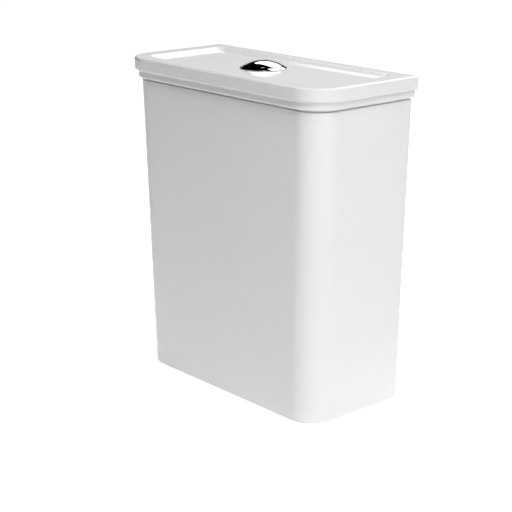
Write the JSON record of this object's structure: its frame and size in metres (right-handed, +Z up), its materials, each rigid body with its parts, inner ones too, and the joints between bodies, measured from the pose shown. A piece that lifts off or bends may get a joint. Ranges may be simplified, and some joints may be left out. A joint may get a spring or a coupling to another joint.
{
  "type": "toilet cistern",
  "caption": "Close-coupled toilet cistern: tapered white china tank, stepped lift-off lid, chrome dual-flush button, drop flush valve and bottom-inlet float valve.",
  "frame": {"origin": "on the plane of the foot, under the middle of the cistern's box", "axes": "+X to the right seen from the front, +Y to the wall behind, +Z up"},
  "size_m": [0.365, 0.1666, 0.419],
  "materials": {
    "glazed_china": "white glaze, glossy",
    "chrome_plate": "polished chrome plate",
    "bright_steel": "bright stainless steel",
    "white_plastic": "moulded, satin",
    "grey_plastic": "moulded, satin",
    "blue_plastic": "moulded, satin",
    "pale_blue_plastic": "moulded, satin",
    "black_rubber": "matt rubber",
    "white_rubber": "soft white foam",
    "red_rubber": "matt silicone",
    "yellow_plastic": "moulded, satin",
    "black_plastic": "moulded, satin"
  },
  "bodies": {
    "tank": {"tank": "glazed_china", "valve_base": "grey_plastic", "valve_washer": "black_rubber", "valve_backnut": "grey_plastic", "coupling_ring": "black_rubber", "valve_cage": "white_plastic", "valve_bridge": "grey_plastic", "lever_pin": "bright_steel", "fill_shank": "white_plastic", "fill_washer": "black_rubber", "fill_backnut": "white_plastic", "inlet_filter": "yellow_plastic", "fill_riser": "grey_plastic", "riser_lock_nut": "blue_plastic", "fill_head": "white_plastic", "diaphragm": "black_rubber", "fill_cap": "white_plastic", "pilot_pin": "black_plastic", "arm_pin": "bright_steel", "coupling_bolts": "bright_steel", "bolt_rubber_washers": "black_rubber", "bolt_steel_washers": "bright_steel", "bolt_nuts": "bright_steel"},
    "lid": {"lid": "glazed_china", "button_bezel": "chrome_plate", "bezel_gasket": "white_rubber", "button_nut": "grey_plastic", "full_flush_spring": "bright_steel", "half_flush_spring": "bright_steel"},
    "full_button": {"full_flush_button": "chrome_plate", "full_push_rod": "white_plastic"},
    "half_button": {"half_flush_button": "chrome_plate", "half_push_rod": "white_plastic"},
    "full_lever": {"full_flush_lever": "blue_plastic"},
    "half_lever": {"half_flush_lever": "pale_blue_plastic"},
    "flush_tube": {"overflow_tube": "grey_plastic", "flush_seal": "red_rubber", "seal_clamp": "grey_plastic", "tube_float": "white_plastic"},
    "half_float": {"half_flush_float": "white_plastic", "half_flush_rod": "pale_blue_plastic"},
    "float": {"float_cup": "white_plastic", "float_link": "bright_steel", "link_clip": "blue_plastic"},
    "float_arm": {"float_arm": "blue_plastic"}
  },
  "joints": [
    {"name": "lid_lift", "type": "slide", "parent": "tank", "child": "lid", "axis": [0, 0, 1], "range_m": [0, 0.125]},
    {"name": "full_press", "type": "slide", "parent": "lid", "child": "full_button", "axis": [0, 0, -1], "range_m": [0, 0.006], "stiffness_N_per_m": 400, "springref_m": -0.005, "deforming": ["full_flush_spring"]},
    {"name": "half_press", "type": "slide", "parent": "lid", "child": "half_button", "axis": [0, 0, -1], "range_m": [0, 0.006], "stiffness_N_per_m": 400, "springref_m": -0.005, "deforming": ["half_flush_spring"]},
    {"name": "full_rock", "type": "hinge", "parent": "tank", "child": "full_lever", "pos_m": [0, 0.00525, 0.272], "axis": [1, 0, 0], "range_deg": [0, 23]},
    {"name": "half_rock", "type": "hinge", "parent": "tank", "child": "half_lever", "pos_m": [0, 0.00525, 0.272], "axis": [1, 0, 0], "range_deg": [0, 23]},
    {"name": "flush_lift", "type": "slide", "parent": "tank", "child": "flush_tube", "axis": [0, 0, 1], "range_m": [0, 0.0076]},
    {"name": "half_lift", "type": "slide", "parent": "tank", "child": "half_float", "axis": [0, 0, 1], "range_m": [0, 0.0076]},
    {"name": "float_rise", "type": "slide", "parent": "tank", "child": "float", "axis": [0, 0, 1], "range_m": [0, 0.016]},
    {"name": "arm_swing", "type": "hinge", "parent": "tank", "child": "float_arm", "pos_m": [-0.106, 0.01, 0.2813], "axis": [0, -1, 0], "range_deg": [0, 33.3]}
  ],
  "couplings": [
    {"joint": "full_rock", "follows": "full_press", "rad_per_m": 66.9},
    {"joint": "flush_lift", "follows": "full_press", "ratio": 1.2666},
    {"joint": "half_rock", "follows": "half_press", "rad_per_m": 66.9},
    {"joint": "half_lift", "follows": "half_press", "ratio": 1.2666},
    {"joint": "arm_swing", "follows": "float_rise", "rad_per_m": 36.2}
  ]
}
